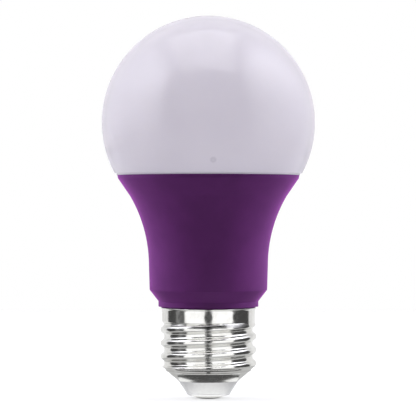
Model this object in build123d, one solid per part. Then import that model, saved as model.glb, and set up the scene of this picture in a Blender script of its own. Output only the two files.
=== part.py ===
from build123d import *
import os
from math import cos, radians, sin, sqrt

# An LED lamp with an opal ball globe, a purple housing and a standard 26 mm screw cap.
# Millimetres. The axis is Z, the lamp stands on its centre contact and the globe is on top.

# Globe
overall_height = 104.0
globe_radius = 29.0
globe_wall = 1.3
globe_centre_z = overall_height - globe_radius
seam_z = 60.7
globe_lip_height = 0.5
globe_lip_radius = 25.0
globe_flange = 0.9
globe_side_angle = 10
skirt_radius = 22.4
skirt_bottom_z = 58.2
seal_width = 1.4
seal_rise = 1.2
seal_hollow = (0.5, 0.7)

# Housing, from its rim down to its neck
rim_radius = 24.8
rim_bottom_z = 59.8
rim_taper = 0.2
flare_radius = 21.3
flare_z = 55.0
waist_radius = 16.2
waist_z = 36.1
waist_curve = 37.6
barrel_radius = 16.0
barrel_bottom_z = 29.5
cavity_floor_z = 30.2
neck_radius = 13.6
neck_top_z = 26.4
housing_wall = 1.6
shelf_rise = 0.6
spreader_ledge_z = 56.6

# Spigot that the cap is pushed on
spigot_radius = 12.4
spigot_step_z = 21.2
spigot_tail_radius = 11.5
spigot_bore = 10.0
spigot_bottom_z = 11.5
spigot_step_drop = 0.6
notch_angle = 225
notch_floor = 10.9
notch_half_width = 0.45
notch_top_z = 20.0

# Screw cap
cap_top_z = 25.0
sheet = 0.3
collar_radius = 12.7
collar_bottom_z = 20.9
bead_radius = 12.95
bead_height = 0.8
bead_straight = 0.56
collar_step = 0.6
inner_step = 0.65
thread_crest = 13.1
thread_root = 12.05
thread_pitch = 3.629
thread_start_z = 5.95
thread_half_turns = 9
thread_foot = 0.12
thread_foot_gap = 0.07
chord_flat = 0.27
chord_side = 0.62
chord_drop = 0.209
fade_height = 2.2
fade_overlap = 0.8
fade_clearance = 0.1
start_fade = 0.6
start_overlap = 0.25
shoulder_radius = 12.45
shoulder_z = 8.4
corner_radius = 10.75
corner_z = 7.1
corner_bead = 0.2
shoulder_rise = 0.5
cone_slant = 0.216
cap_end_radius = 8.2
cap_end_z = 4.8
dimple_count = 10
dimple_z = 22.5
dimple_ball = 2.0
dimple_depth = 0.35

# Insulator and centre contact
insulator_tip_radius = 6.1
insulator_tip_z = 1.6
insulator_foot_radius = 5.4
insulator_foot_z = 0.9
insulator_round = (5.88, 1.1)
insulator_wall = 1.1
insulator_floor_radius = 5.2
contact_radius = 4.8
contact_flat = 2.3
contact_round = (3.8, 0.42)
contact_seat_z = 1.3
shank_radius = 1.3
shank_top_z = 3.4
clinch_radius = 2.1
clinch_top_z = 3.8

# Light engine
spreader_radius = 20.9
spreader_sheet = 1.2
spreader_skirt = 17.2
spreader_skirt_z = 51.0
led_board_radius = 19.0
led_board_thickness = 1.0
led_count = 12
led_circle = 14.5
led_size = (3.5, 2.8, 0.7)
screw_circle = 8.5
screw_hole = 3.2
screw_core = 2.8
screw_head = (2.75, 1.8)
screw_slot = (0.8, 0.7)
screw_reach = 5.0
spreader_slot = (3.5, -1.2, 2.6)
board_slot = (2.4, 0.2, 1.7)
socket_half_length = 4.0
socket_half_width = 2.3
socket_height = 4.2
socket_chamfer = 0.4
pin_depth = 2.7

# Driver
board_thickness = 1.2
board_half_width = 12.0
board_tail_half_width = 8.2
board_top_z = 54.0
board_step_z = 31.0
board_bottom_z = 14.0
rail_inner_x = 10.6
rail_half_thickness = 1.8
rail_top_z = 46.0
pin_side = 0.64
pin_spacing = 2.54
pin_foot = 5.0
lead_diameter = 0.7
can_round = 0.6
can_groove_z = 1.6
can_groove_width = 0.6
can_groove_depth = 0.35
choke_place = (4.6, 38.0)
choke_radius = 4.5
choke_hub = 2.0
choke_coil = 4.1
choke_length = 7.0
choke_flange = 1.2
package_size = (4.9, 3.9, 1.6)
package_lead = (0.5, 6.2, 0.3)
resistor_radius = 1.5
resistor_bottom_z = 6.2
resistor_top_z = 12.2
resistor_round = 0.5
lead_overlap = 0.2
upper_lead = ((0, 12.9), (1, 13.8), (1, 17.6))
neutral_x = -5.0
neutral_top_z = 19.0
neutral_turn_z = 10.3
neutral_end_z = 18.0
neutral_bend = 0.9
neutral_radius = 11.39

# Worked out from the sizes above
spreader_top_z = spreader_ledge_z + spreader_sheet
led_board_top_z = spreader_top_z + led_board_thickness
inner_corner_radius = corner_radius - 0.3
inner_corner_z = corner_z + 0.1
board_face_y = board_thickness / 2
pin_y = board_face_y + pin_side / 2
lead_y = board_face_y + lead_diameter / 2
outward = Rot(-90, 0, 0)
backward = Rot(90, 0, 0)


def turned(*lines):
    """Turn a closed outline of lines and arcs in (radius, height) round the lamp's axis."""
    edges = [edge for line in lines for edge in line.edges()]
    return revolve(Plane.XZ * make_face(edges), Axis.Z)


def turned_polygon(*points):
    """Turn a closed polygon of (radius, height) round the lamp's axis."""
    return revolve(Plane.XZ * make_face(Polyline(*points, close=True)), Axis.Z)


def upright(radius, bottom, top):
    """A cylinder on the lamp's axis between two heights."""
    return Pos(0, 0, bottom) * Cylinder(radius, top - bottom, align=(Align.CENTER, Align.CENTER, Align.MIN))


def block(x0, x1, y0, y1, z0, z1):
    """A block between two corners."""
    middle = Pos((x0 + x1) / 2, (y0 + y1) / 2, (z0 + z1) / 2)
    return middle * Box(x1 - x0, y1 - y0, z1 - z0)


def wire_along(points, radius, diameter):
    """A round wire along straight runs with bent corners."""
    path = FilletPolyline(*points, radius=radius)
    section = Plane(origin=path @ 0, z_dir=path % 0) * Circle(diameter / 2)
    return sweep(section, path=path)


def ball_edge(radius, height):
    """Radius of a ball about the globe's centre at a height on the axis."""
    return sqrt(radius ** 2 - (height - globe_centre_z) ** 2)


def diffuser_globe():
    """Opal ball with a thin lip at the seam and a skirt that pushes into the housing."""
    inner = globe_radius - globe_wall
    lip_z = seam_z + globe_lip_height
    flange_z = seam_z + globe_flange
    skirt_inner = skirt_radius - globe_wall
    across = cos(radians(globe_side_angle))
    up = sin(radians(globe_side_angle))
    side = (globe_radius * across, globe_centre_z + globe_radius * up)
    inner_side = (inner * across, globe_centre_z + inner * up)
    top = (0, overall_height)
    inner_top = (0, globe_centre_z + inner)
    lip_edge = (ball_edge(globe_radius, lip_z), lip_z)
    flange_edge = (ball_edge(inner, flange_z), flange_z)
    return turned(
        ThreePointArc(top, side, lip_edge),
        Polyline(
            lip_edge,
            (globe_lip_radius, lip_z),
            (globe_lip_radius, seam_z),
            (skirt_radius, seam_z),
            (skirt_radius, skirt_bottom_z),
            (skirt_inner, skirt_bottom_z),
            (skirt_inner, flange_z),
            flange_edge,
        ),
        ThreePointArc(flange_edge, inner_side, inner_top),
        Line(inner_top, top),
    )


def globe_seal():
    """Bead of silicone in the corner between the spreader and the globe's skirt."""
    skirt_inner = skirt_radius - globe_wall
    foot = (skirt_inner - seal_width, spreader_top_z)
    head = (skirt_inner, skirt_bottom_z + seal_rise)
    hollow = (skirt_inner - seal_hollow[0], spreader_top_z + seal_hollow[1])
    return turned(
        Polyline(
            foot,
            (spreader_radius, spreader_top_z),
            (spreader_radius, skirt_bottom_z),
            (skirt_inner, skirt_bottom_z),
            head,
        ),
        ThreePointArc(head, hollow, foot),
    )


def waist_point(radius, drop):
    """Point on a circle about the centre of the waist's curve, a height above the waist."""
    centre_x = waist_radius + waist_curve
    return (centre_x - sqrt(radius ** 2 - drop ** 2), waist_z + drop)


def housing_outside():
    """The housing's full outer form with its stepped spigot, as a solid."""
    kink = (flare_radius, flare_z)
    waist = (waist_radius, waist_z)
    return turned(
        Polyline(
            waist,
            (barrel_radius, barrel_bottom_z),
            (neck_radius, neck_top_z),
            (neck_radius, cap_top_z),
            (spigot_radius, cap_top_z),
            (spigot_radius, spigot_step_z),
            (spigot_tail_radius, spigot_step_z - spigot_step_drop),
            (spigot_tail_radius, spigot_bottom_z),
            (0, spigot_bottom_z),
            (0, seam_z),
            (rim_radius, seam_z),
            (rim_radius - rim_taper, rim_bottom_z),
            kink,
        ),
        ThreePointArc(kink, waist_point(waist_curve, (flare_z - waist_z) / 2), waist),
    )


def housing_cavity():
    """The space in the housing: two seats at the rim, the curved body and the spigot's bore."""
    inner_curve = waist_curve + housing_wall
    shelf = waist_point(inner_curve, flare_z - waist_z + shelf_rise)
    inner_waist = waist_point(inner_curve, 0)
    return turned(
        Polyline(
            inner_waist,
            (barrel_radius - housing_wall, cavity_floor_z),
            (spigot_bore, neck_top_z),
            (spigot_bore, spigot_bottom_z),
            (0, spigot_bottom_z),
            (0, seam_z),
            (skirt_radius, seam_z),
            (skirt_radius, skirt_bottom_z),
            (spreader_radius, skirt_bottom_z),
            (spreader_radius, spreader_ledge_z),
            (shelf[0], spreader_ledge_z),
            shelf,
        ),
        ThreePointArc(shelf, waist_point(inner_curve, (flare_z - waist_z) / 2), inner_waist),
    )


def board_rail(side):
    """Moulded rail on one side wall, with a slot that the driver board slides down into."""
    rail = block(rail_inner_x, waist_radius * 1.2, -rail_half_thickness, rail_half_thickness, neck_top_z, rail_top_z)
    slot = block(rail_inner_x, board_half_width, -board_face_y, board_face_y, board_step_z, rail_top_z)
    return Rot(0, 0, 0 if side > 0 else 180) * (rail - slot)


def dimple_balls(radius):
    """Balls round the collar that press or clear its crimp marks."""
    reach = collar_radius - dimple_depth + dimple_ball
    places = PolarLocations(reach, dimple_count, start_angle=-90)
    return [Pos(0, 0, dimple_z) * place * Sphere(radius) for place in places]


def housing():
    """Purple moulding with driver rails, a wire notch in the spigot and crimp recesses."""
    body = housing_outside()
    rails = [board_rail(side) & body for side in (1, -1)]
    body -= housing_cavity()
    body += rails
    half = notch_half_width
    notch = block(notch_floor, collar_radius, -half, half, spigot_bottom_z, notch_top_z)
    body -= Rot(0, 0, notch_angle) * notch
    body -= dimple_balls(dimple_ball + sheet)
    return body


def thread_path():
    """Right-hand helix of the thread, in half turns that follow on from each other."""
    half = Helix(
        pitch=thread_pitch,
        height=thread_pitch / 2,
        radius=thread_root,
        center=(0, 0, thread_start_z),
    )
    spans = [Pos(0, 0, thread_pitch / 2 * i) * Rot(0, 0, 180 * i) * half for i in range(thread_half_turns)]
    return Wire([edge for span in spans for edge in span.edges()])


def thread_ridge():
    """Round thread ridge, drawn with chords of its crest and groove arcs, wound up the axis."""
    half_pitch = thread_pitch / 2
    flank = [
        (thread_crest, chord_flat),
        (thread_crest - chord_drop, chord_side),
        (thread_root + chord_drop, half_pitch - chord_side),
        (thread_root - thread_foot, half_pitch - thread_foot_gap),
    ]
    upper = [(r, thread_start_z + z) for r, z in flank]
    lower = [(r, thread_start_z - z) for r, z in reversed(flank)]
    section = Plane.XZ * make_face(Polyline(*upper, *lower, close=True))
    return sweep(section, path=thread_path(), is_frenet=True)


def thread_limit():
    """Body that the ridge is trimmed with, so that it fades out at the collar and the shoulder."""
    hidden = collar_radius - fade_clearance
    clear = thread_crest + fade_clearance
    within_z = corner_z + start_overlap
    return turned_polygon(
        (0, collar_bottom_z + fade_overlap),
        (hidden, collar_bottom_z + fade_overlap),
        (hidden, collar_bottom_z + fade_overlap / 2),
        (clear, collar_bottom_z - fade_height),
        (clear, shoulder_z + start_fade),
        (shoulder_radius + start_overlap, shoulder_z + fade_clearance),
        (shoulder_radius - start_overlap, shoulder_z - fade_clearance / 2),
        (corner_radius, within_z),
        (0, within_z),
    )


def cap_core():
    """Outside of the cap without its thread: bead, collar, thread root, shoulder, corner and cone."""
    return turned_polygon(
        (0, cap_top_z),
        (bead_radius, cap_top_z),
        (bead_radius, cap_top_z - bead_straight),
        (collar_radius, cap_top_z - bead_height),
        (collar_radius, collar_bottom_z),
        (thread_root, collar_bottom_z - collar_step),
        (thread_root, shoulder_z + shoulder_rise),
        (shoulder_radius, shoulder_z),
        (corner_radius, corner_z),
        (corner_radius, corner_z - corner_bead),
        (cap_end_radius, cap_end_z),
        (0, cap_end_z),
    )


def cap_inside():
    """Space in the cap, one sheet thickness inside the collar, thread root, corner and cone."""
    return turned_polygon(
        (0, cap_top_z),
        (collar_radius - sheet, cap_top_z),
        (collar_radius - sheet, spigot_step_z),
        (thread_root - sheet, spigot_step_z - inner_step),
        (thread_root - sheet, shoulder_z),
        (inner_corner_radius, inner_corner_z),
        (cap_end_radius - cone_slant, cap_end_z + cone_slant),
        (cap_end_radius, cap_end_z),
        (0, cap_end_z),
    )


def screw_shell():
    """Pressed screw cap: bead, crimped collar, rolled round thread, corner and open cone."""
    body = cap_core() + (thread_ridge() & thread_limit())
    body -= cap_inside()
    collar = upright(collar_radius, spigot_step_z, cap_top_z)
    body += [ball & collar for ball in dimple_balls(dimple_ball + sheet)]
    body -= dimple_balls(dimple_ball)
    return body


def cap_insulator():
    """White insulating cone that closes the cap and carries the centre contact."""
    tip = (insulator_tip_radius, insulator_tip_z)
    foot = (insulator_foot_radius, insulator_foot_z)
    return turned(
        ThreePointArc(foot, insulator_round, tip),
        Polyline(
            tip,
            (cap_end_radius, cap_end_z),
            (cap_end_radius - cone_slant, cap_end_z + cone_slant),
            (inner_corner_radius, inner_corner_z),
            (inner_corner_radius, shoulder_z),
            (inner_corner_radius - insulator_wall, shoulder_z),
            (insulator_floor_radius, shank_top_z),
            (shank_radius, shank_top_z),
            (shank_radius, contact_seat_z),
            (contact_radius, contact_seat_z),
            (contact_radius, insulator_foot_z),
            foot,
        ),
    )


def centre_contact():
    """Domed contact disc with a hollow shank clinched over inside the insulator."""
    edge = (contact_radius, insulator_foot_z)
    flat = (contact_flat, 0)
    hole = lead_diameter / 2
    return turned(
        Line((0, 0), flat),
        ThreePointArc(flat, contact_round, edge),
        Polyline(
            edge,
            (contact_radius, contact_seat_z),
            (shank_radius, contact_seat_z),
            (shank_radius, shank_top_z),
            (clinch_radius, shank_top_z),
            (clinch_radius, clinch_top_z),
            (hole, clinch_top_z),
            (hole, contact_seat_z),
            (0, contact_seat_z),
            (0, 0),
        ),
    )


def screw_places(height):
    """Where the two board screws stand."""
    return [Pos(0, side * screw_circle, height) for side in (1, -1)]


def screw_cores(radius):
    """Round holes through the spreader and the board at the screws."""
    return [place * Cylinder(radius, screw_reach) for place in screw_places(spreader_top_z)]


def heat_spreader():
    """Pressed aluminium plate with a turned-down skirt, screw holes and a slot for the pins."""
    plate = turned_polygon(
        (0, spreader_top_z),
        (spreader_radius, spreader_top_z),
        (spreader_radius, spreader_ledge_z),
        (spreader_skirt, spreader_ledge_z),
        (spreader_skirt, spreader_skirt_z),
        (spreader_skirt - spreader_sheet, spreader_skirt_z),
        (spreader_skirt - spreader_sheet, spreader_ledge_z),
        (0, spreader_ledge_z),
    )
    plate -= screw_cores(screw_core / 2)
    half, front, back = spreader_slot
    plate -= block(-half, half, front, back, spreader_ledge_z, spreader_top_z)
    return plate


def led_board():
    """Round metal-core board with its screw holes and pin slot."""
    board = upright(led_board_radius, spreader_top_z, led_board_top_z)
    board -= screw_cores(screw_hole / 2)
    half, front, back = board_slot
    board -= block(-half, half, front, back, spreader_top_z, led_board_top_z)
    return board


def led_packages():
    """Ring of light-emitting packages."""
    length, width, height = led_size
    places = PolarLocations(led_circle, led_count, start_angle=15)
    package = Pos(0, 0, led_board_top_z + height / 2) * Box(length, width, height)
    return [place * package for place in places]


def board_screws():
    """Two pan-head screws with a slot, through the board into the spreader."""
    radius, height = screw_head
    slot_width, slot_depth = screw_slot
    slot = Pos(0, 0, height) * Box(radius * 3, slot_width, slot_depth * 2)
    shank = Cylinder(screw_core / 2, screw_reach, align=(Align.CENTER, Align.CENTER, Align.MAX))
    screw = upright(radius, 0, height) - slot + shank
    return [place * screw for place in screw_places(led_board_top_z)]


def pin_columns(z0, z1):
    """Square columns at the two connector pins."""
    half = pin_side / 2
    columns = []
    for side in (1, -1):
        x = side * pin_spacing / 2
        columns.append(block(x - half, x + half, pin_y - half, pin_y + half, z0, z1))
    return columns


def board_connector():
    """Socket on the LED board that takes the driver's two pins from below."""
    half = socket_half_length
    front = pin_y - socket_half_width
    back = pin_y + socket_half_width
    body = block(-half, half, front, back, led_board_top_z, led_board_top_z + socket_height)
    body = chamfer(body.faces().sort_by(Axis.Z)[-1].edges(), socket_chamfer)
    body -= pin_columns(led_board_top_z, led_board_top_z + pin_depth)
    return body


def header_pins():
    """Two square pins soldered to the driver board that plug into the socket."""
    return pin_columns(board_top_z - pin_foot, led_board_top_z + pin_depth)


def driver_board():
    """Upright circuit board: a wide part in the rails and a tail down in the spigot."""
    outline = Polyline(
        (-board_tail_half_width, board_bottom_z),
        (board_tail_half_width, board_bottom_z),
        (board_tail_half_width, board_step_z),
        (board_half_width, board_step_z),
        (board_half_width, board_top_z),
        (-board_half_width, board_top_z),
        (-board_half_width, board_step_z),
        (-board_tail_half_width, board_step_z),
        close=True,
    )
    return extrude(Plane.XZ * make_face(outline), board_thickness / 2, both=True)


def can_capacitor(radius, length, x, z):
    """Electrolytic can standing out from the front of the board, with a crimp groove."""
    can = upright(radius, 0, length)
    can = fillet(can.edges().sort_by(Axis.Z)[-1], can_round)
    ring = Cylinder(radius + 1, can_groove_width) - Cylinder(radius - can_groove_depth, can_groove_width)
    can -= Pos(0, 0, can_groove_z) * ring
    return Pos(x, board_face_y, z) * outward * can


def on_choke(shape):
    """Lay a shape that stands on the axis against the back of the board, at the choke."""
    x, z = choke_place
    return Pos(x, -board_face_y, z) * backward * shape


def winding_tube(radius):
    """Ring between the drum's flanges, from the hub out to a radius."""
    top = choke_length - choke_flange
    return upright(radius, choke_flange, top) - upright(choke_hub, choke_flange, top)


def choke_core():
    """Ferrite drum with two flanges and a thin hub."""
    return on_choke(upright(choke_radius, 0, choke_length) - winding_tube(choke_radius))


def choke_winding():
    """Copper winding between the drum's flanges."""
    return on_choke(winding_tube(choke_coil))


def leaded_package(x, z, pins, spacing):
    """Moulded package on the back of the board with a row of flat leads on each side."""
    length, width, height = package_size
    lead_width, lead_span, lead_height = package_lead
    face = -board_face_y
    body = block(x - length / 2, x + length / 2, face - height, face, z - width / 2, z + width / 2)
    leads = []
    for i in range(pins):
        lead_x = x + spacing * (i - (pins - 1) / 2)
        sides = (lead_x - lead_width / 2, lead_x + lead_width / 2)
        leads.append(block(*sides, face - lead_height, face, z - lead_span / 2, z + lead_span / 2))
    return body + leads


def fusible_resistor():
    """Resistor between the centre contact and the driver board, with its two leads."""
    body = upright(resistor_radius, resistor_bottom_z, resistor_top_z)
    body = fillet(body.edges(), resistor_round)
    lower = upright(lead_diameter / 2, contact_seat_z, resistor_bottom_z + lead_overlap)
    bends = [(0, lead_y * step, z) for step, z in upper_lead]
    upper = wire_along([(0, 0, resistor_top_z - lead_overlap)] + bends, 0.4, lead_diameter)
    return body + lower + upper


def neutral_wire():
    """Bare wire from the back of the board, round the spigot's end and up its notch."""
    notch = Vector(1, 0, 0).rotate(Axis.Z, notch_angle) * neutral_radius
    points = [
        (neutral_x, -lead_y, neutral_top_z),
        (neutral_x, -lead_y, neutral_turn_z),
        (notch.X, notch.Y, neutral_turn_z),
        (notch.X, notch.Y, neutral_end_z),
    ]
    return wire_along(points, neutral_bend, lead_diameter)


def write(name, shape):
    """Write one node's step file."""
    pieces = shape if isinstance(shape, list) else [shape]
    solids = [solid for piece in pieces for solid in piece.solids()]
    export_step(solids[0] if len(solids) == 1 else Compound(solids), f"parts/{name}.step")


os.makedirs("parts", exist_ok=True)
write("diffuser_globe", diffuser_globe())
write("globe_seal", globe_seal())
write("housing", housing())
write("screw_shell", screw_shell())
write("cap_insulator", cap_insulator())
write("centre_contact", centre_contact())
write("heat_spreader", heat_spreader())
write("led_board", led_board())
write("led_packages", led_packages())
write("board_screws", board_screws())
write("board_connector", board_connector())
write("header_pins", header_pins())
write("driver_board", driver_board())
write("input_capacitor", can_capacitor(4.0, 11.0, -5.0, 42.0))
write("output_capacitor", can_capacitor(3.15, 8.0, 4.6, 42.0))
write("choke_core", choke_core())
write("choke_winding", choke_winding())
write("driver_chip", leaded_package(-5.0, 42.0, 4, 1.27))
write("bridge_rectifier", leaded_package(1.5, 24.0, 2, 2.5))
write("fusible_resistor", fusible_resistor())
write("neutral_wire", neutral_wire())
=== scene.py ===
# %% [markdown]
# # An LED lamp with an opal globe, a purple housing and a screw cap
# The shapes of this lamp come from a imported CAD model, where every solid is already in its
# place and at its real size. This lesson dresses it: it gives each solid a finish that works
# like the real one, puts a smoother metal cap in place of the CAD cap, and sets the lamp on a
# pale table between two soft lights, as a product photographer does.
# Everything is in metres, so 0.104 is the lamp's height of 104 mm.

from math import atan2, cos, hypot, pi, radians, sin, sqrt

import bpy
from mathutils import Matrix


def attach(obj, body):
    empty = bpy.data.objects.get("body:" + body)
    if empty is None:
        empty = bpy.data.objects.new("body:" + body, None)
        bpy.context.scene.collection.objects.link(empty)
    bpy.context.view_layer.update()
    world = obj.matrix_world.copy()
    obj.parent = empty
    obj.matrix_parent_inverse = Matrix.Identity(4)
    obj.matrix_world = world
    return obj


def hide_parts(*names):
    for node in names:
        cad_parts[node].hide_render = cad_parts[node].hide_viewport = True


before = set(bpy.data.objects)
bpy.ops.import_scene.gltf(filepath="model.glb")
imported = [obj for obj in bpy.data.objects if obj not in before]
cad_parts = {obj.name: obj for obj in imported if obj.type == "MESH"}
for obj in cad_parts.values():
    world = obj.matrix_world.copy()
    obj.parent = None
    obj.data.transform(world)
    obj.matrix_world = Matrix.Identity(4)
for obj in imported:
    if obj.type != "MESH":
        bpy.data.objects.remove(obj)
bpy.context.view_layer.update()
MM = 0.001
print("CAD nodes:", len(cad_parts))


# %% [markdown]
# The photograph was taken from straight ahead, with the camera level with the middle of the
# lamp and far enough away that its outline hardly narrows. A long lens at 600 mm does the
# same here: the frame is 113.3 mm wide where the lamp stands, and the sensor 36 mm.

# %% The camera
FRAME_WIDTH = 113.3 * MM
CAMERA_DISTANCE = 600 * MM
CAMERA_HEIGHT = 51.75 * MM
CAMERA_SIDE = -0.11 * MM
SENSOR_WIDTH = 36.0

camera_data = bpy.data.cameras.new("camera")
camera_data.sensor_width = SENSOR_WIDTH
camera_data.lens = SENSOR_WIDTH * CAMERA_DISTANCE / FRAME_WIDTH
camera_data.clip_start = 0.01
camera = bpy.data.objects.new("camera", camera_data)
bpy.context.scene.collection.objects.link(camera)
camera.location = (CAMERA_SIDE, -CAMERA_DISTANCE, CAMERA_HEIGHT)
camera.rotation_euler = (radians(90), 0, 0)
bpy.context.scene.camera = camera
print("Lens:", round(camera_data.lens, 1), "mm")


# %% [markdown]
# Colours are easiest to write as the hex values that a paint chart or a screen gives, but
# Blender mixes light in linear values. One function turns the first into the second. A second
# one adds a node to a material with its settings and its links, so that each finish below
# reads as a short list of what it is made of.

# %% Helpers for colours and nodes
def linear(code):
    """Linear colour of an sRGB hex code such as #8C419B."""
    parts = [int(code[i:i + 2], 16) / 255 for i in (1, 3, 5)]
    curve = [p / 12.92 if p <= 0.04045 else ((p + 0.055) / 1.055) ** 2.4 for p in parts]
    return (*curve, 1.0)


def add_node(material, kind, settings=None, inputs=None, links=None):
    """Add a node, set its properties and sockets, and link sockets to other nodes' outputs."""
    node = material.node_tree.nodes.new(kind)
    for key, value in (settings or {}).items():
        setattr(node, key, value)
    for key, value in (inputs or {}).items():
        node.inputs[key].default_value = value
    for key, output in (links or {}).items():
        material.node_tree.links.new(output, node.inputs[key])
    return node


def new_material(name):
    """An empty node material, ready for its nodes."""
    material = bpy.data.materials.new(name)
    material.use_nodes = True
    material.node_tree.nodes.clear()
    return material


def finish_surface(material, surface):
    """Link a shader to the material's output."""
    output = material.node_tree.nodes.new("ShaderNodeOutputMaterial")
    material.node_tree.links.new(surface, output.inputs["Surface"])
    return material


print("Middle grey #808080 is", round(linear("#808080")[0], 3), "in linear light")


# %% [markdown]
# The globe of such a lamp is moulded in opal polycarbonate. White pigment in the plastic
# scatters the light that enters it: some comes back out and most goes on through, so the
# whole globe fills with light and even its dark side glows. A volume shader could do that
# slowly. A wall as thin as this one can be drawn as a mix of a diffuse and a translucent
# surface, with the gloss of the moulded skin over both.
#
# The CAD globe has an outer and an inner surface, and light would be scattered by both. So the
# back of each surface is clear, and every wall scatters the light once. The gloss grows towards
# the outline, as on any plastic, but is held at a limit, because the wall's edge would mirror
# the dark studio. A faint ring below the middle is the mark that the mould leaves: its small
# relief is not modelled, and its shading is painted into the colour as a darker ring.

# %% Opal polycarbonate
OPAL_PASS = 0.71
OPAL_IOR = 1.52
GLOSS_LIMIT = 0.25
GATE_MARK = (1.25 * MM, -26.93 * MM, 64.3 * MM)
GATE_MARK_RADIUS = 1 * MM


def opal_polycarbonate():
    """Milky moulded plastic: faint clouds in the pigment and a glossy, slightly hazy skin."""
    material = new_material("opal_polycarbonate")
    place = add_node(material, "ShaderNodeTexCoord")
    clouds = add_node(
        material, "ShaderNodeTexNoise",
        inputs={"Scale": 1 / (14 * MM), "Detail": 2.0, "Roughness": 0.45},
        links={"Vector": place.outputs["Object"]},
    )
    tint = add_node(material, "ShaderNodeValToRGB", links={"Fac": clouds.outputs["Fac"]})
    tint.color_ramp.elements[0].position = 0.3
    tint.color_ramp.elements[0].color = linear("#D3D0D5")
    tint.color_ramp.elements[1].position = 0.7
    tint.color_ramp.elements[1].color = linear("#D5D2D7")
    haze = add_node(
        material, "ShaderNodeTexNoise",
        inputs={"Scale": 1 / (0.9 * MM), "Detail": 3.0},
        links={"Vector": place.outputs["Object"]},
    )
    polish = add_node(
        material, "ShaderNodeMapRange",
        inputs={"To Min": 0.01, "To Max": 0.03},
        links={"Value": haze.outputs["Fac"]},
    )
    ripple = add_node(
        material, "ShaderNodeBump",
        inputs={"Strength": 0.02, "Distance": 0.02 * MM},
        links={"Height": haze.outputs["Fac"]},
    )
    away = add_node(
        material, "ShaderNodeVectorMath",
        settings={"operation": "DISTANCE"},
        inputs={1: GATE_MARK},
        links={0: place.outputs["Object"]},
    )
    reach = add_node(
        material, "ShaderNodeMapRange",
        inputs={"From Max": GATE_MARK_RADIUS},
        links={"Value": away.outputs["Value"]},
    )
    # Painted shade: the gate mark's relief is not modelled, so a faint darker ring in the colour
    # stands in for its shading
    ring = add_node(material, "ShaderNodeValToRGB", links={"Fac": reach.outputs["Result"]})
    ring.color_ramp.elements[0].color = linear("#F7F7F7")
    ring.color_ramp.elements[1].color = linear("#FFFFFF")
    ring.color_ramp.elements.new(0.55).color = linear("#EDECEE")
    # Sockets 0, 6 and 7 of a colour mix are its factor and its two colours, output 2 its result
    tint_with_gate_shade = add_node(
        material, "ShaderNodeMix",
        settings={"data_type": "RGBA", "blend_type": "MULTIPLY"},
        inputs={0: 1.0},
        links={6: tint.outputs["Color"], 7: ring.outputs["Color"]},
    )
    lit_side = add_node(material, "ShaderNodeBsdfDiffuse", links={"Color": tint_with_gate_shade.outputs[2]})
    far_side = add_node(material, "ShaderNodeBsdfTranslucent", links={"Color": tint_with_gate_shade.outputs[2]})
    milk = add_node(
        material, "ShaderNodeMixShader",
        inputs={0: OPAL_PASS},
        links={1: lit_side.outputs[0], 2: far_side.outputs[0]},
    )
    skin = add_node(
        material, "ShaderNodeBsdfGlossy",
        inputs={"Color": linear("#FFFFFF")},
        links={"Roughness": polish.outputs["Result"], "Normal": ripple.outputs["Normal"]},
    )
    mirrored = add_node(
        material, "ShaderNodeFresnel",
        inputs={"IOR": OPAL_IOR},
        links={"Normal": ripple.outputs["Normal"]},
    )
    gloss = add_node(
        material, "ShaderNodeMapRange",
        inputs={"From Max": GLOSS_LIMIT, "To Max": GLOSS_LIMIT},
        links={"Value": mirrored.outputs["Fac"]},
    )
    plastic = add_node(
        material, "ShaderNodeMixShader",
        links={0: gloss.outputs["Result"], 1: milk.outputs[0], 2: skin.outputs[0]},
    )
    side = add_node(material, "ShaderNodeNewGeometry")
    clear = add_node(material, "ShaderNodeBsdfTransparent")
    one_skin = add_node(
        material, "ShaderNodeMixShader",
        links={0: side.outputs["Backfacing"], 1: plastic.outputs[0], 2: clear.outputs[0]},
    )
    return finish_surface(material, one_skin.outputs[0])


finishes = {"opal_polycarbonate": opal_polycarbonate()}
print("Opal plastic passes", OPAL_PASS, "of the light that it scatters")


# %% [markdown]
# The housing is moulded in a purple plastic with a soft-touch surface: the mould was spark
# eroded, which leaves a fine even grain. Such a skin shows no highlights but a soft pale-purple
# sheen where it turns away from the eye. A coat layer would draw hard highlights, so the
# shader's sheen layer does it. Grain of a tenth of a millimetre is too fine to show at this
# size, so it is drawn three times as coarse, and only the roughness and the bump carry it. The
# colour itself varies by a shade, as pigment does.

# %% Purple soft-touch plastic
SOFT_TOUCH_BODY = {
    "IOR": 1.45,
    "Specular IOR Level": 0.2,
    "Sheen Weight": 0.8,
    "Sheen Roughness": 0.28,
    "Sheen Tint": linear("#B850C0"),
}


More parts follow.
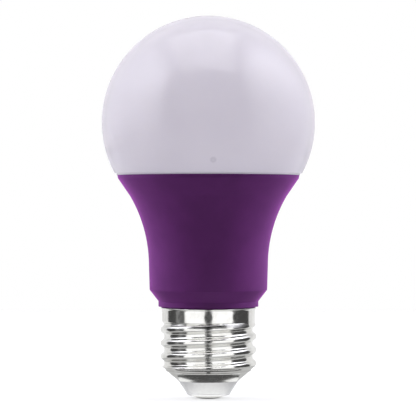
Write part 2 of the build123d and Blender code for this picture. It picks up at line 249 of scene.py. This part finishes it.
def soft_touch_plastic():
    """Matte purple moulding with a fine spark-eroded grain and a soft sheen."""
    material = new_material("soft_touch_abs")
    place = add_node(material, "ShaderNodeTexCoord")
    pigment = add_node(
        material, "ShaderNodeTexNoise",
        inputs={"Scale": 1 / (5 * MM), "Detail": 3.0, "Roughness": 0.5},
        links={"Vector": place.outputs["Object"]},
    )
    tint = add_node(material, "ShaderNodeValToRGB", links={"Fac": pigment.outputs["Fac"]})
    tint.color_ramp.elements[0].position = 0.3
    tint.color_ramp.elements[0].color = linear("#5B2463")
    tint.color_ramp.elements[1].position = 0.7
    tint.color_ramp.elements[1].color = linear("#612769")
    grain = add_node(
        material, "ShaderNodeTexNoise",
        inputs={"Scale": 1 / (0.3 * MM), "Detail": 2.0, "Roughness": 0.6},
        links={"Vector": place.outputs["Object"]},
    )
    dullness = add_node(
        material, "ShaderNodeMapRange",
        inputs={"To Min": 0.66, "To Max": 0.82},
        links={"Value": grain.outputs["Fac"]},
    )
    texture = add_node(
        material, "ShaderNodeBump",
        inputs={"Strength": 0.35, "Distance": 0.03 * MM},
        links={"Height": grain.outputs["Fac"]},
    )
    plastic = add_node(
        material, "ShaderNodeBsdfPrincipled",
        inputs=SOFT_TOUCH_BODY,
        links={
            "Base Color": tint.outputs["Color"],
            "Roughness": dullness.outputs["Result"],
            "Normal": texture.outputs["Normal"],
        },
    )
    return finish_surface(material, plastic.outputs["BSDF"])


finishes["soft_touch_abs"] = soft_touch_plastic()
print("Soft-touch plastic:", len(finishes["soft_touch_abs"].node_tree.nodes), "nodes")


# %% [markdown]
# The cap is thin brass sheet, rolled to shape and then plated with nickel, bright but not quite
# a mirror. Rolling leaves fine lines round the cap. An anisotropic shader could smear the
# reflections across such lines, but real lines also break them up, so a noise draws them. Its
# coordinates are shrunk across the axis, which pulls each grain out into a line round the cap.
# The lines are drawn a quarter of a millimetre apart, far coarser than real ones.

# %% Nickel-plated brass
def nickel_plate():
    """Bright nickel over rolled sheet, with fine lines round the axis and a few soft stains."""
    material = new_material("nickel_plated_brass")
    place = add_node(material, "ShaderNodeTexCoord")
    drawn_out = add_node(
        material, "ShaderNodeMapping",
        inputs={"Scale": (0.12, 0.12, 1.0)},
        links={"Vector": place.outputs["Object"]},
    )
    lines = add_node(
        material, "ShaderNodeTexNoise",
        inputs={"Scale": 1 / (0.25 * MM), "Detail": 3.0, "Roughness": 0.6},
        links={"Vector": drawn_out.outputs["Vector"]},
    )
    stains = add_node(
        material, "ShaderNodeTexNoise",
        inputs={"Scale": 1 / (4 * MM), "Detail": 4.0, "Roughness": 0.55},
        links={"Vector": place.outputs["Object"]},
    )
    tint = add_node(material, "ShaderNodeValToRGB", links={"Fac": stains.outputs["Fac"]})
    tint.color_ramp.elements[0].position = 0.35
    tint.color_ramp.elements[0].color = linear("#DAD9D6")
    tint.color_ramp.elements[1].position = 0.6
    tint.color_ramp.elements[1].color = linear("#E6E6E4")
    polish = add_node(
        material, "ShaderNodeMapRange",
        inputs={"To Min": 0.12, "To Max": 0.19},
        links={"Value": lines.outputs["Fac"]},
    )
    rolled = add_node(
        material, "ShaderNodeBump",
        inputs={"Strength": 0.12, "Distance": 0.02 * MM},
        links={"Height": lines.outputs["Fac"]},
    )
    metal = add_node(
        material, "ShaderNodeBsdfPrincipled",
        inputs={"Metallic": 1.0},
        links={
            "Base Color": tint.outputs["Color"],
            "Roughness": polish.outputs["Result"],
            "Normal": rolled.outputs["Normal"],
        },
    )
    return finish_surface(material, metal.outputs["BSDF"])


finishes["nickel_plated_brass"] = nickel_plate()
print("Nickel plate:", len(finishes["nickel_plated_brass"].node_tree.nodes), "nodes")


# %% [markdown]
# The other pieces are small and plain: mouldings, lacquers, boards and bits of metal. Most sit
# out of sight, but each still gets the finish that its real material has. They differ only in
# colour, grain, gloss and whether they are metal, so one function makes them all, and a table
# names the real material and what it gives the eye, its two shades, the size of its grain in
# millimetres and its roughness. Most of these grains are finer than the picture can show, and
# are drawn coarser.

# %% Plain finishes
def grained_finish(name, shades, grain, roughness, relief, metal=False, ior=1.5, stretch=(1, 1, 1)):
    """A finish with two close shades and one grain, which also drives roughness and relief."""
    material = new_material(name)
    place = add_node(material, "ShaderNodeTexCoord")
    drawn_out = add_node(
        material, "ShaderNodeMapping",
        inputs={"Scale": stretch},
        links={"Vector": place.outputs["Object"]},
    )
    texture = add_node(
        material, "ShaderNodeTexNoise",
        inputs={"Scale": 1 / (grain * MM), "Detail": 3.0, "Roughness": 0.55},
        links={"Vector": drawn_out.outputs["Vector"]},
    )
    tint = add_node(material, "ShaderNodeValToRGB", links={"Fac": texture.outputs["Fac"]})
    for element, position, shade in zip(tint.color_ramp.elements, (0.3, 0.7), shades):
        element.position = position
        element.color = linear(shade)
    dullness = add_node(
        material, "ShaderNodeMapRange",
        inputs={"To Min": roughness[0], "To Max": roughness[1]},
        links={"Value": texture.outputs["Fac"]},
    )
    bumps = add_node(
        material, "ShaderNodeBump",
        inputs={"Strength": 0.3, "Distance": relief * MM},
        links={"Height": texture.outputs["Fac"]},
    )
    body = add_node(
        material, "ShaderNodeBsdfPrincipled",
        inputs={"Metallic": 1.0} if metal else {"IOR": ior},
        links={
            "Base Color": tint.outputs["Color"],
            "Roughness": dullness.outputs["Result"],
            "Normal": bumps.outputs["Normal"],
        },
    )
    return finish_surface(material, body.outputs["BSDF"])


PLAIN_FINISHES = {
    # White PBT, moulded: an even, slightly grey white with a mild gloss
    "white_pbt": dict(
        shades=("#C9C9C8", "#D0D0CF"), grain=0.8, roughness=(0.28, 0.36), relief=0.01,
    ),
    # Brass, pressed and tinned: a pale metal that has gone a little dull
    "tinned_brass": dict(
        shades=("#B9B8B4", "#CFCECB"), grain=0.7, roughness=(0.22, 0.36), relief=0.01, metal=True,
    ),
    # Silicone sealant, laid as a bead: milky, soft in gloss and slightly lumpy
    "silicone": dict(
        shades=("#D5D5D2", "#DDDDDA"), grain=1.5, roughness=(0.45, 0.6), relief=0.05, ior=1.41,
    ),
    # Aluminium sheet, rolled and pressed: grey metal with faint lines along the rolling
    "pressed_aluminium": dict(
        shades=("#B6B8BA", "#C6C8CA"), grain=0.4, roughness=(0.32, 0.45), relief=0.01, metal=True,
        stretch=(1.0, 0.08, 1.0),
    ),
    # White solder mask, printed on a metal core: flat white with a slight gloss
    "white_solder_mask": dict(
        shades=("#E4E4DF", "#EBEBE7"), grain=0.6, roughness=(0.3, 0.42), relief=0.01,
    ),
    # Phosphor in clear silicone, poured into each package: deep yellow under a glossy skin
    "phosphor_gel": dict(
        shades=("#EBCB4A", "#F3D964"), grain=0.2, roughness=(0.25, 0.4), relief=0.01, ior=1.41,
    ),
    # Steel, turned and zinc plated: bluish grey metal
    "zinc_plated_steel": dict(
        shades=("#9FA2A3", "#B4B7B8"), grain=0.3, roughness=(0.3, 0.42), relief=0.01, metal=True,
    ),
    # Green solder mask over glass cloth, whose weave shows as a faint mottle
    "green_solder_mask": dict(
        shades=("#1C5A34", "#246B3F"), grain=0.5, roughness=(0.25, 0.38), relief=0.01,
    ),
    # Black shrink sleeve, drawn tight by heat: smooth black with a soft gloss
    "shrink_sleeve": dict(
        shades=("#141416", "#1E1E21"), grain=1.0, roughness=(0.3, 0.4), relief=0.01,
    ),
    # Ferrite, pressed and sintered: dark grey, dry and open-grained
    "ferrite": dict(
        shades=("#2B2B2D", "#38383A"), grain=0.15, roughness=(0.6, 0.8), relief=0.02,
    ),
    # Copper wire in clear enamel: a brown-red metal in turns 0.3 mm apart
    "enamelled_copper": dict(
        shades=("#A9582F", "#C46F3E"), grain=0.3, roughness=(0.2, 0.35), relief=0.03, metal=True,
        stretch=(0.1, 1.0, 0.1),
    ),
    # Black epoxy, moulded round the chips: flat black with a dull skin
    "black_epoxy": dict(
        shades=("#161616", "#202020"), grain=0.2, roughness=(0.5, 0.65), relief=0.01,
    ),
    # Flameproof lacquer, dipped: grey-green and slightly uneven
    "flameproof_lacquer": dict(
        shades=("#5C7A68", "#698775"), grain=0.5, roughness=(0.35, 0.5), relief=0.02,
    ),
}
for name, values in PLAIN_FINISHES.items():
    finishes[name] = grained_finish(name, **values)
print("Finishes:", len(finishes))


# %% [markdown]
# On the real lamp each piece is made of one material, so each CAD node gets one finish. The
# node keeps its mesh, and the finish goes into the material slots that its object already has,
# because a new mesh or a new slot would lose the names that the CAD model gave them.

# %% Finishes on the CAD nodes
NODE_FINISHES = {
    "diffuser_globe": "opal_polycarbonate",
    "globe_seal": "silicone",
    "housing": "soft_touch_abs",
    "screw_shell": "nickel_plated_brass",
    "cap_insulator": "white_pbt",
    "centre_contact": "tinned_brass",
    "heat_spreader": "pressed_aluminium",
    "led_board": "white_solder_mask",
    "led_packages": "phosphor_gel",
    "board_screws": "zinc_plated_steel",
    "board_connector": "white_pbt",
    "header_pins": "tinned_brass",
    "driver_board": "green_solder_mask",
    "input_capacitor": "shrink_sleeve",
    "output_capacitor": "shrink_sleeve",
    "choke_core": "ferrite",
    "choke_winding": "enamelled_copper",
    "driver_chip": "black_epoxy",
    "bridge_rectifier": "black_epoxy",
    "fusible_resistor": "flameproof_lacquer",
    "neutral_wire": "tinned_brass",
}
for node_name, finish_name in NODE_FINISHES.items():
    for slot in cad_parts[node_name].material_slots:
        slot.material = finishes[finish_name]
print("Dressed nodes:", len(NODE_FINISHES))


# %% [markdown]
# ## The screw cap
# A real cap is one piece of 0.3 mm sheet. It is drawn to a cup with a rolled top edge, its
# round thread is rolled in, and its collar is crimped to the housing with small marks. The CAD
# cap has the same form, but draws the thread's round section with straight chords. Here the
# sheet is spun from an outline and the thread is pushed into it point by point, which is close
# to what the rollers do.

# %% The cap's outline
# Height and radius in millimetres, from the rolled edge down to the end of the cone
CAP_CORE = [
    (25.0, 12.5), (24.86, 12.75), (24.68, 12.9), (24.5, 12.95), (24.44, 12.95), (24.2, 12.7),
    (20.9, 12.7), (20.3, 12.05), (8.9, 12.05), (8.45, 12.42), (8.2, 12.1), (8.0, 11.8),
    (7.85, 11.7), (7.6, 11.66), (7.4, 11.5), (7.2, 11.1), (7.1, 10.75), (6.9, 10.75), (4.8, 8.2),
]
CAP_TOP = CAP_CORE[0][0]
CAP_END = CAP_CORE[-1][0]
CORNER_EASE = 0.1
THREADED = (6.8, 21.2)
ROLLED_EDGE = 24
FINE_ROW = 0.15
PLAIN_ROW = 0.24
CAP_STEPS = 240
WELD_DISTANCE = 1e-6


def line_radius(height, line):
    """Radius at a height on a line of (height, radius) points that runs from the top down."""
    for (z0, r0), (z1, r1) in zip(line, line[1:]):
        if z1 <= height <= z0:
            return r0 + (r1 - r0) * (z0 - height) / (z0 - z1)
    return line[0][1] if height > line[0][0] else line[-1][1]


def core_radius(height):
    """Radius of the cap without its thread, with its corners eased as bent sheet is."""
    near = [height - CORNER_EASE, height, height + CORNER_EASE]
    return sum(line_radius(z, CAP_CORE) for z in near) / len(near)


def cap_rows():
    """Heights of the rows of points: close together at the thread and at the rolled edge."""
    rows = [CAP_TOP]
    while rows[-1] > CAP_END:
        fine = THREADED[0] < rows[-1] < THREADED[1] or rows[-1] > ROLLED_EDGE
        rows.append(max(rows[-1] - (FINE_ROW if fine else PLAIN_ROW), CAP_END))
    return rows


def deselect():
    """Leave edit mode and clear the selection, so that an operator acts on nothing else."""
    if bpy.context.object and bpy.context.object.mode != "OBJECT":
        bpy.ops.object.mode_set(mode="OBJECT")
    bpy.ops.object.select_all(action="DESELECT")


def spin_outline(name, outline, steps):
    """Extrude one point along an outline of (radius, height) in millimetres and spin it round."""
    deselect()
    bpy.ops.mesh.primitive_plane_add(size=MM)
    piece = bpy.context.object
    piece.name = piece.data.name = name
    bpy.ops.object.mode_set(mode="EDIT")
    bpy.ops.mesh.select_all(action="SELECT")
    bpy.ops.mesh.merge(type="CENTER")
    radius, height = outline[0]
    bpy.ops.transform.translate(value=(radius * MM, 0, height * MM))
    for next_radius, next_height in outline[1:]:
        step = ((next_radius - radius) * MM, 0, (next_height - height) * MM)
        bpy.ops.mesh.extrude_vertices_move(TRANSFORM_OT_translate={"value": step})
        radius, height = next_radius, next_height
    bpy.ops.mesh.select_all(action="SELECT")
    bpy.ops.mesh.spin(
        steps=steps, angle=2 * pi, use_auto_merge=True, center=(0, 0, 0), axis=(0, 0, 1),
    )
    bpy.ops.mesh.select_all(action="SELECT")
    bpy.ops.mesh.remove_doubles(threshold=WELD_DISTANCE)
    bpy.ops.mesh.normals_make_consistent(inside=False)
    bpy.ops.object.mode_set(mode="OBJECT")
    return piece


cap = spin_outline("cap_sheet", [(core_radius(z), z) for z in cap_rows()], CAP_STEPS)
print("Cap before its thread:", len(cap.data.vertices), "points")


# %% [markdown]
# The thread is a standard one for this cap, with a pitch of 3.629 mm, 7 turns to the inch, and
# it is right-handed: its crest climbs one pitch for each turn counter-clockwise. Crest and
# groove are arcs of the same radius that meet halfway. At the collar and at the shoulder the
# crest fades out, as it does where the rollers leave the sheet. The crimp marks are shallow
# seats that a punch pressed into the collar, ten of them, one facing the camera.

# %% The thread and the crimp marks
# Millimetres. The limit is a line of heights and radii that the thread's crest stays under.
PITCH = 3.629
CREST = 13.1
ROOT = 12.05
START = 5.95
ARC = ((PITCH / 4) ** 2 + ((CREST - ROOT) / 2) ** 2) / (CREST - ROOT)
LIMIT = [(21.3, 12.6), (18.7, 13.2), (9.0, 13.2), (8.5, 12.7), (8.35, 12.2), (7.35, 10.75)]
RIDGED = (7.3, 21.3)
RIDGE_BLEND = 0.12
DIMPLE_HEIGHT = 22.5
DIMPLE_FLAT = 0.3
DIMPLE_RADIUS = 1.1
DIMPLE_DEPTH = 0.06
DIMPLE_COUNT = 10
COLLAR = 12.7


def thread_radius(angle, height):
    """Radius of the thread's surface: arcs that swing between crest and root in half a pitch."""
    turns = (height - START) / PITCH - angle / (2 * pi)
    away = abs(turns - round(turns)) * PITCH
    if away < PITCH / 4:
        return CREST - ARC + sqrt(ARC ** 2 - away ** 2)
    return ROOT + ARC - sqrt(ARC ** 2 - (PITCH / 2 - away) ** 2)


def soft_max(a, b, blend):
    """The larger of two radii, with the corner between them rounded."""
    overlap = max(blend - abs(a - b), 0) / blend
    return max(a, b) + overlap * overlap * blend / 4


def dimple_press(angle, height):
    """How deep the nearest crimp mark is at a place: a flat seat with a soft edge."""
    spacing = 2 * pi / DIMPLE_COUNT
    offset = (angle + pi / 2 + spacing / 2) % spacing - spacing / 2
    away = hypot(offset * COLLAR, height - DIMPLE_HEIGHT)
    if away >= DIMPLE_RADIUS:
        return 0.0
    seat = COLLAR - (COLLAR - DIMPLE_DEPTH) / cos(offset)
    edge = max(away - DIMPLE_FLAT, 0.0) / (DIMPLE_RADIUS - DIMPLE_FLAT)
    return seat * (0.5 + 0.5 * cos(pi * edge))


for vertex in cap.data.vertices:
    x, y, z = (value / MM for value in vertex.co)
    angle = atan2(y, x)
    radius = hypot(x, y)
    if RIDGED[0] < z < RIDGED[1]:
        ridge = min(thread_radius(angle, z), line_radius(z, LIMIT))
        radius = soft_max(radius, ridge, RIDGE_BLEND)
    radius -= dimple_press(angle, z)
    vertex.co = (radius * cos(angle) * MM, radius * sin(angle) * MM, z * MM)
print("Thread:", round((RIDGED[1] - RIDGED[0]) / PITCH, 1), "turns, arcs of", round(ARC, 2), "mm")


# %% [markdown]
# So far the cap is a surface without a wall. The Solidify modifier gives it the sheet's
# thickness on the inside, so that the measured outside stays. Faces are shaded smoothly across
# all but the sharpest bends. The finished cap then takes the CAD cap's place and keeps the name
# of its material slot.

# %% The cap's wall and its place on the lamp
SHEET_THICKNESS = 0.3 * MM
SMOOTH_UNDER = radians(50)

solid_sheet = cap.modifiers.new("sheet", "SOLIDIFY")
solid_sheet.thickness = SHEET_THICKNESS
solid_sheet.offset = -1.0
deselect()
cap.select_set(True)
bpy.context.view_layer.objects.active = cap
bpy.ops.object.modifier_apply(modifier="sheet")
bpy.ops.object.shade_smooth_by_angle(angle=SMOOTH_UNDER)
cap.data.materials.append(finishes["nickel_plated_brass"])
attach(cap, "root")
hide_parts("screw_shell")
print("Cap:", len(cap.data.polygons), "faces,", [round(v / MM, 2) for v in cap.dimensions], "mm")


# %% [markdown]
# ## The set
# The lamp stands on a pale table. Two tall diffusion panels light it, one on each side, with
# a hot spot where the flash behind each one stands. Their places are read from their
# reflections in the globe. In front, past the table's edge, the studio is dark, and that keeps
# the middle of the housing dark. The world is white to the eye, to metal and to glass, and a
# weak fill for all other light: a lamp lit by a white world from all sides would lose its shade.

# %% World
FILL = 0.06


def white_surround():
    """A world that is white to the eye, to metal and to glass, and a soft fill for the rest."""
    world = bpy.data.worlds.new("white_surround")
    world.use_nodes = True
    world.node_tree.nodes.clear()
    path = add_node(world, "ShaderNodeLightPath")
    seen = add_node(
        world, "ShaderNodeMath",
        settings={"operation": "MAXIMUM"},
        links={0: path.outputs["Is Camera Ray"], 1: path.outputs["Is Glossy Ray"]},
    )
    seen_through = add_node(
        world, "ShaderNodeMath",
        settings={"operation": "MAXIMUM"},
        links={0: seen.outputs[0], 1: path.outputs["Is Transmission Ray"]},
    )
    shade = linear("#FFFFFF")
    fill = add_node(world, "ShaderNodeBackground", inputs={"Color": shade, "Strength": FILL})
    white = add_node(world, "ShaderNodeBackground", inputs={"Color": shade, "Strength": 1.0})
    mix = add_node(
        world, "ShaderNodeMixShader",
        links={0: seen_through.outputs[0], 1: fill.outputs[0], 2: white.outputs[0]},
    )
    add_node(world, "ShaderNodeOutputWorld", links={"Surface": mix.outputs[0]})
    return world


bpy.context.scene.world = white_surround()
print("Fill:", FILL)


# %% [markdown]
# Most of the set is flat sheets: a table, dark cloths, panels and cards. One function adds a
# sheet from its middle, its width and height and its turn, and two more say who can see it. A
# sheet for light alone is in no reflection, so it can stand where the photographer's panel
# doesn't show. A sheet for reflections alone throws no light and no shadow on the lamp.

# %% Sheets and who sees them
LEVEL = (0, 0, 0)
FACING = (90, 0, 0)
SIDEWAYS = (0, 90, 0)


def sheet(name, middle, size, turn, material):
    """A flat sheet of the set, in metres. Unturned it lies level, with its sizes along X and Y."""
    deselect()
    bpy.ops.mesh.primitive_plane_add(
        size=1.0, location=middle, rotation=[radians(a) for a in turn],
    )
    piece = bpy.context.object
    piece.name = piece.data.name = name
    piece.scale = (size[0], size[1], 1.0)
    bpy.ops.object.transform_apply(location=True, rotation=True, scale=True)
    piece.data.materials.append(material)
    return piece


def light_only(piece):
    """Show a sheet to matt surfaces alone: it gives light but is in no reflection."""
    piece.visible_camera = piece.visible_glossy = False


def reflections_only(piece):
    """Hide a sheet from everything but reflections."""
    piece.visible_camera = piece.visible_diffuse = piece.visible_shadow = False
    piece.visible_transmission = piece.visible_volume_scatter = False


print("Turns for sheets:", {"level": LEVEL, "facing": FACING, "sideways": SIDEWAYS})


# %% [markdown]
# The table is matt paper. Its own glow for the camera brings it to white in the picture, while
# the paper keeps the shade of the lamp on it. More light would do it too, but would wash out
# the lamp. Only the paper's upper side is drawn, so a view from below the table still shows the
# lamp. Past the table's front edge lies black cloth, and more of it hangs behind the camera.

# %% Table and dark studio
TABLE_FRONT = -0.236
TABLE_BACK = 0.5
TABLE_MIDDLE = -0.075
TABLE_WIDTH = 0.83
TABLE_GLOW = 0.58
STUDIO_FRONT = -0.7
STUDIO_WIDTH = 2.4
CLOTH_HEIGHT = 1.7
CLOTH_WIDTH = 1.8
CLOTH_DROP = 0.002


def mottled(name, dark, pale, grain):
    """Matt stock for the set with two close shades, and its shader for further mixing."""
    material = new_material(name)
    place = add_node(material, "ShaderNodeTexCoord")
    fibre = add_node(
        material, "ShaderNodeTexNoise",
        inputs={"Scale": 1 / (grain * MM), "Detail": 2.0},
        links={"Vector": place.outputs["Object"]},
    )
    tint = add_node(material, "ShaderNodeValToRGB", links={"Fac": fibre.outputs["Fac"]})
    tint.color_ramp.elements[0].color = linear(dark)
    tint.color_ramp.elements[1].color = linear(pale)
    shader = add_node(material, "ShaderNodeBsdfDiffuse", links={"Color": tint.outputs["Color"]})
    return material, shader


def seen_from_above(material, shader):
    """The shader on the upper side of a sheet, and nothing on its lower side."""
    side = add_node(material, "ShaderNodeNewGeometry")
    clear = add_node(material, "ShaderNodeBsdfTransparent")
    mix = add_node(
        material, "ShaderNodeMixShader",
        links={0: side.outputs["Backfacing"], 1: shader, 2: clear.outputs[0]},
    )
    return mix.outputs[0]


def table_paper():
    """Matt pale paper that reads as white to the eye and keeps the lamp's shadow."""
    material, paper = mottled("table_paper", "#9A9A9A", "#9D9D9D", grain=2.0)
    path = add_node(material, "ShaderNodeLightPath")
    glow = add_node(
        material, "ShaderNodeMath",
        settings={"operation": "MULTIPLY"},
        inputs={1: TABLE_GLOW},
        links={0: path.outputs["Is Camera Ray"]},
    )
    light = add_node(material, "ShaderNodeEmission", links={"Strength": glow.outputs[0]})
    both = add_node(
        material, "ShaderNodeAddShader", links={0: paper.outputs[0], 1: light.outputs[0]},
    )
    return finish_surface(material, seen_from_above(material, both.outputs[0]))


def black_cloth():
    """Matt black cloth, which gives next to no light back."""
    material, weave = mottled("black_cloth", "#0C0C0C", "#1A1A1A", grain=3.0)
    return finish_surface(material, weave.outputs[0])


sheet(
    "table", (TABLE_MIDDLE, (TABLE_FRONT + TABLE_BACK) / 2, 0),
    (TABLE_WIDTH, TABLE_BACK - TABLE_FRONT), LEVEL, table_paper(),
)
cloth = black_cloth()
dark_ground = sheet(
    "dark_ground", (0, (TABLE_FRONT + STUDIO_FRONT) / 2, -CLOTH_DROP),
    (STUDIO_WIDTH, TABLE_FRONT - STUDIO_FRONT), LEVEL, cloth,
)
dark_front = sheet(
    "dark_front", (0, STUDIO_FRONT, CLOTH_HEIGHT / 2), (CLOTH_WIDTH, CLOTH_HEIGHT), FACING, cloth,
)
dark_ground.visible_camera = dark_front.visible_camera = False
print("Table's front edge:", TABLE_FRONT, "m")


# %% [markdown]
# The panels stand upright. The left one is half a metre from the lamp and the right one
# nearer, and both reach well above it. The flash behind each cloth gives a hot spot, which
# falls off with distance. An area light has the same brightness all over and couldn't do that,
# so a panel is a sheet with a glow that the distance from the hot spot drives.

# %% Diffusion panels
FLASH = "#F8F8FF"
PANELS = {
    "left": dict(
        middle=(-0.5, 0.0685, 0.56), size=(1.12, 0.863),
        hot_place=(-0.5, -0.1, 0.5), reach=0.55, hot=3.2, base=1.0,
    ),
    "right": dict(
        middle=(0.35, 0.006, 0.625), size=(1.25, 0.688),
        hot_place=(0.35, 0.0, 0.45), reach=0.42, hot=3.6, base=0.9,
    ),
}


def hot_glow(name, hot, base, hot_place, reach):
    """Diffusion cloth lit from behind: an even glow with a hot spot that falls off."""
    material = new_material(name)
    place = add_node(material, "ShaderNodeTexCoord")
    away = add_node(
        material, "ShaderNodeVectorMath",
        settings={"operation": "DISTANCE"},
        inputs={1: hot_place},
        links={0: place.outputs["Object"]},
    )
    level = add_node(
        material, "ShaderNodeMapRange",
        settings={"interpolation_type": "SMOOTHSTEP"},
        inputs={"From Min": 0.0, "From Max": reach, "To Min": hot, "To Max": base},
        links={"Value": away.outputs["Value"]},
    )
    light = add_node(
        material, "ShaderNodeEmission",
        inputs={"Color": linear(FLASH)},
        links={"Strength": level.outputs["Result"]},
    )
    return finish_surface(material, light.outputs[0])


for side, panel in PANELS.items():
    lit_cloth = hot_glow(
        f"{side}_cloth", panel["hot"], panel["base"], panel["hot_place"], panel["reach"],
    )
    diffuser = sheet(f"{side}_panel", panel["middle"], panel["size"], SIDEWAYS, lit_cloth)
    diffuser.visible_camera = False
print("Diffusion panels:", list(PANELS))


# %% [markdown]
# A soft light hangs over the lamp, and two kick lights stand beside it and a little behind. They
# fill the globe with light from above and from its far side, and light the edges of the
# housing, whose front stays dark. A dim panel behind adds a little more. All four are left out
# of reflections, because the photograph shows none of them there. Two cards do the opposite:
# they are only seen in reflections, where the top of the globe and the metal mirror them.

# %% Lights and cards round the lamp
BACK_GLOW = 0.1
TOP_GLOW = 4.3
KICK_GLOW = 6.9
BACK_CARD_GLOW = 0.8
CEILING_GLOW = 1.9


def plain_glow(name, strength, shade="#FFFFFF"):
    """Evenly lit cloth or card."""
    material = new_material(name)
    light = add_node(
        material, "ShaderNodeEmission", inputs={"Color": linear(shade), "Strength": strength},
    )
    return finish_surface(material, light.outputs[0])


kick_cloth = plain_glow("kick_cloth", KICK_GLOW, FLASH)
# Each sheet's middle, its width and height, its turn and its cloth, in metres
LIGHTS = {
    "back_panel": ((0, 0.9, 0.8), (2.0, 1.6), FACING, plain_glow("back_cloth", BACK_GLOW)),
    "top_panel": ((0, 0.02, 0.8), (0.9, 0.6), LEVEL, plain_glow("top_cloth", TOP_GLOW, FLASH)),
    "left_kick": ((-0.3, 0.2, 0.22), (0.34, 0.44), SIDEWAYS, kick_cloth),
    "right_kick": ((0.3, 0.2, 0.22), (0.34, 0.44), SIDEWAYS, kick_cloth),
}
CARDS = {
    "back_card": ((0, 0.8, 0.9), (3.0, 3.0), FACING, plain_glow("back_seen", BACK_CARD_GLOW)),
    "ceiling_card": (
        (-0.02, -0.135, 1.1), (1.1, 1.21), LEVEL, plain_glow("ceiling_seen", CEILING_GLOW),
    ),
}
for name, (middle, size, turn, material) in LIGHTS.items():
    light_only(sheet(name, middle, size, turn, material))
for name, (middle, size, turn, material) in CARDS.items():
    reflections_only(sheet(name, middle, size, turn, material))
print("Glow of back, top and kick lights:", BACK_GLOW, TOP_GLOW, KICK_GLOW)


# %% [markdown]
# Polished metal shows its surroundings like a mirror, so a photographer sets small cards close
# round it. Here a ring of card strips stands round the cap: dark in front of it and at the
# sides, white between, and pale behind. Only reflections see the ring, so it throws no shadow.

# %% Card ring round the cap
# The ring's sizes are in millimetres. A strip runs between two angles in degrees, where 0 is
# the front and 90 the right.
RING_RADIUS = 30
RING_FOOT = 4
RING_HEIGHT = 22
STRIP_STEPS = 12
RING_STRIPS = [
    (-97, -70, "dusk"), (-70, -60, "grey"), (-60, -48, "smoke"), (-48, -7, "white"),
    (-7, -3, "grey"), (-3, 3, "dusk"), (3, 7, "grey"), (7, 50, "white"), (50, 54, "grey"),
    (54, 97, "dusk"), (97, 263, "pale"),
]
STRIP_GLOW = {"dusk": 0.07, "smoke": 0.12, "grey": 0.25, "pale": 0.95, "white": 1.35}
strip_cards = {shade: plain_glow(f"{shade}_strip", glow) for shade, glow in STRIP_GLOW.items()}


def ring_strip(name, start, end, material):
    """One curved strip of the ring, from a point that is raised to a line and then spun."""
    deselect()
    bpy.ops.mesh.primitive_plane_add(size=MM)
    strip = bpy.context.object
    strip.name = strip.data.name = name
    bpy.ops.object.mode_set(mode="EDIT")
    bpy.ops.mesh.select_all(action="SELECT")
    bpy.ops.mesh.merge(type="CENTER")
    bpy.ops.transform.translate(value=(RING_RADIUS * MM, 0, RING_FOOT * MM))
    bpy.ops.mesh.extrude_vertices_move(
        TRANSFORM_OT_translate={"value": (0, 0, RING_HEIGHT * MM)},
    )
    bpy.ops.mesh.select_all(action="SELECT")
    bpy.ops.mesh.spin(
        steps=STRIP_STEPS, angle=radians(end - start), center=(0, 0, 0), axis=(0, 0, 1),
    )
    bpy.ops.object.mode_set(mode="OBJECT")
    strip.rotation_euler = (0, 0, radians(end - 90))
    bpy.ops.object.transform_apply(rotation=True)
    strip.data.materials.append(material)
    return strip


for index, (start, end, shade) in enumerate(RING_STRIPS):
    reflections_only(ring_strip(f"ring_strip_{index}", start, end, strip_cards[shade]))
print("Ring strips:", len(RING_STRIPS))


# %% [markdown]
# Under the lamp lie five small cards. A lit pad brightens the white insulator from below, as
# the glow of a light table does, and is in no reflection. The other four are only seen in
# reflections. A grey disc stands for the table in the metal. A dark disc, a painted shadow of
# the lamp on the table, and a pale disc over it meet in a crescent in front of the lamp, and the
# cone of the cap mirrors that crescent. A dark strip that runs towards the camera darkens the
# middle of the cone.

# %% Cards under the cap
# Discs: height over the table, radius and place on Y in millimetres, and glow
FOOT_DISCS = {
    "grey": (0.25, 60, 0.0, 0.6),
    # The dark disc is a painted shadow of the lamp on the table, seen only in the metal
    "dark": (0.3, 12.3, 0.0, 0.09),
    "pale": (0.4, 11.5, 4.7, 1.1),
}
DISC_POINTS = 96
# The pad and the dark strip, in metres as all sheets are
PAD_MIDDLE = (0, -0.013, 0.0002)
PAD_SIZE = (0.013, 0.018)
PAD_GLOW = 1.9
LINE_MIDDLE = (0, -0.0215, 0.0005)
LINE_SIZE = (0.0024, 0.017)


def disc(name, height, radius, y, material):
    """A level disc under the lamp, in millimetres."""
    deselect()
    bpy.ops.mesh.primitive_circle_add(
        vertices=DISC_POINTS, radius=radius * MM, fill_type="NGON",
        location=(0, y * MM, height * MM),
    )
    piece = bpy.context.object
    piece.name = piece.data.name = name
    bpy.ops.object.transform_apply(location=True)
    piece.data.materials.append(material)
    return piece


def upward_glow(name, strength):
    """A glow that leaves a sheet upward only. From below the sheet is clear."""
    material = new_material(name)
    glow = add_node(material, "ShaderNodeEmission", inputs={"Strength": strength})
    return finish_surface(material, seen_from_above(material, glow.outputs[0]))


light_pad = sheet("light_pad", PAD_MIDDLE, PAD_SIZE, LEVEL, upward_glow("pad_glow", PAD_GLOW))
light_only(light_pad)
light_pad.visible_shadow = light_pad.visible_transmission = False
for shade, (height, radius, y, strength) in FOOT_DISCS.items():
    card = plain_glow(f"foot_{shade}", strength)
    reflections_only(disc(f"{shade}_foot", height, radius, y, card))
reflections_only(sheet("dark_line", LINE_MIDDLE, LINE_SIZE, LEVEL, strip_cards["smoke"]))
print("Cards under the cap:", 2 + len(FOOT_DISCS))


# %% [markdown]
# Last, the scene shows its colours through the Standard view transform.

# %% Closing
bpy.context.scene.view_settings.view_transform = "Standard"
